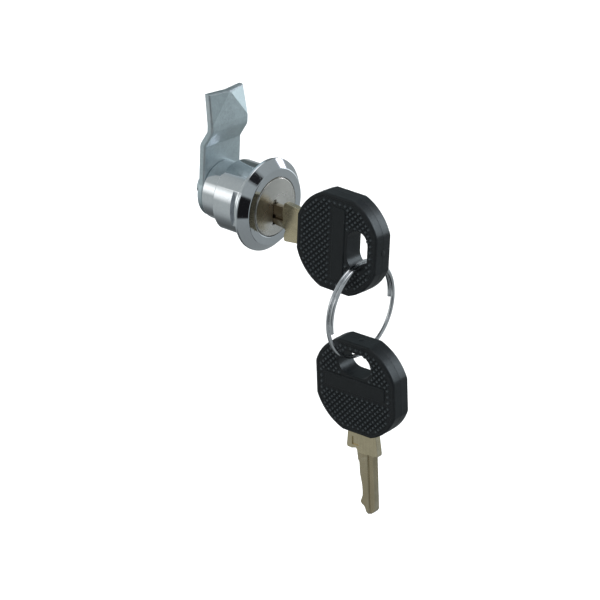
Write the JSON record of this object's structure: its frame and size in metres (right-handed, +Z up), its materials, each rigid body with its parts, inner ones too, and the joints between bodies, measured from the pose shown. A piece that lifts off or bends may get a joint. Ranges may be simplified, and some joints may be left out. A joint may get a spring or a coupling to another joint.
{
  "type": "cam lock cylinder with keys",
  "caption": "Cam lock cylinder for a sheet metal door: chromed round housing, turning plug with cranked cam, one key in the plug and a spare hanging from it on a split ring.",
  "frame": {"origin": "on the lock's axis, at the back face of the flange, which seats on the outside of the door", "axes": "+Y along the lock's axis into the cabinet, +Z up along the cam at rest, +X to the right seen from the key side"},
  "size_m": [0.0298, 0.0758, 0.1192],
  "materials": {
    "chrome_housing": "polished chrome on a zinc die casting",
    "nickel_plug": "satin nickel on a zinc die casting",
    "satin_nickel": "matt warm nickel",
    "zinc_plated_steel": "satin, bluish zinc plating",
    "wafer_brass": "stamped, plain",
    "spring_steel": "drawn wire",
    "nickel_silver": "satin, brownish grey, cut edges brighter",
    "black_plastic": "knurled moulding with a smooth bevelled rim",
    "ring_steel": "bright nickel-plated wire"
  },
  "bodies": {
    "housing": {"housing": "chrome_housing"},
    "plug": {"plug": "nickel_plug", "plug_face_plate": "satin_nickel", "plug_circlip": "spring_steel", "cam": "zinc_plated_steel", "cam_washer": "zinc_plated_steel", "cam_screw": "zinc_plated_steel", "wafer_spring_1": "spring_steel", "wafer_spring_2": "spring_steel", "wafer_spring_3": "spring_steel", "wafer_spring_4": "spring_steel", "wafer_spring_5": "spring_steel", "wafer_spring_6": "spring_steel"},
    "key_1": {"key_1_blade": "nickel_silver", "key_1_head": "black_plastic"},
    "ring": {"key_ring": "ring_steel"},
    "key_2": {"key_2_blade": "nickel_silver", "key_2_head": "black_plastic"},
    "wafer_1": {"wafer_1": "wafer_brass"},
    "wafer_2": {"wafer_2": "wafer_brass"},
    "wafer_3": {"wafer_3": "wafer_brass"},
    "wafer_4": {"wafer_4": "wafer_brass"},
    "wafer_5": {"wafer_5": "wafer_brass"},
    "wafer_6": {"wafer_6": "wafer_brass"}
  },
  "joints": [
    {"name": "plug_turn", "type": "hinge", "parent": "housing", "child": "plug", "pos_m": [0, 0, 0], "axis": [0, 1, 0], "range_deg": [0, 90]},
    {"name": "key_slide", "type": "slide", "parent": "plug", "child": "key_1", "axis": [0, -1, 0], "range_m": [0, 0.0175]},
    {"name": "ring_swing", "type": "hinge", "parent": "key_1", "child": "ring", "pos_m": [0, -0.03692, -0.0079], "axis": [1, 0, 0], "range_deg": [-75, 25]},
    {"name": "spare_swing", "type": "hinge", "parent": "ring", "child": "key_2", "pos_m": [0.00111, -0.03692, -0.03646], "axis": [0.997, 0, 0.0776], "range_deg": [-60, 60]},
    {"name": "wafer_1_lift", "type": "slide", "parent": "plug", "child": "wafer_1", "axis": [0, 0, 1], "range_m": [0, 0.0006], "deforming": ["wafer_spring_1"]},
    {"name": "wafer_2_lift", "type": "slide", "parent": "plug", "child": "wafer_2", "axis": [0, 0, 1], "range_m": [0, 0.0006], "deforming": ["wafer_spring_2"]},
    {"name": "wafer_3_lift", "type": "slide", "parent": "plug", "child": "wafer_3", "axis": [0, 0, 1], "range_m": [0, 0.0006], "deforming": ["wafer_spring_3"]},
    {"name": "wafer_4_lift", "type": "slide", "parent": "plug", "child": "wafer_4", "axis": [0, 0, 1], "range_m": [0, 0.0006], "deforming": ["wafer_spring_4"]},
    {"name": "wafer_5_lift", "type": "slide", "parent": "plug", "child": "wafer_5", "axis": [0, 0, 1], "range_m": [0, 0.0006], "deforming": ["wafer_spring_5"]},
    {"name": "wafer_6_lift", "type": "slide", "parent": "plug", "child": "wafer_6", "axis": [0, 0, 1], "range_m": [0, 0.0006], "deforming": ["wafer_spring_6"]}
  ],
  "couplings": [
    {"joint": "wafer_1_lift", "follows": "key_slide", "ratio": 0.034286},
    {"joint": "wafer_2_lift", "follows": "key_slide", "ratio": 0.034286},
    {"joint": "wafer_3_lift", "follows": "key_slide", "ratio": 0.034286},
    {"joint": "wafer_4_lift", "follows": "key_slide", "ratio": 0.034286},
    {"joint": "wafer_5_lift", "follows": "key_slide", "ratio": 0.034286},
    {"joint": "wafer_6_lift", "follows": "key_slide", "ratio": 0.034286}
  ]
}
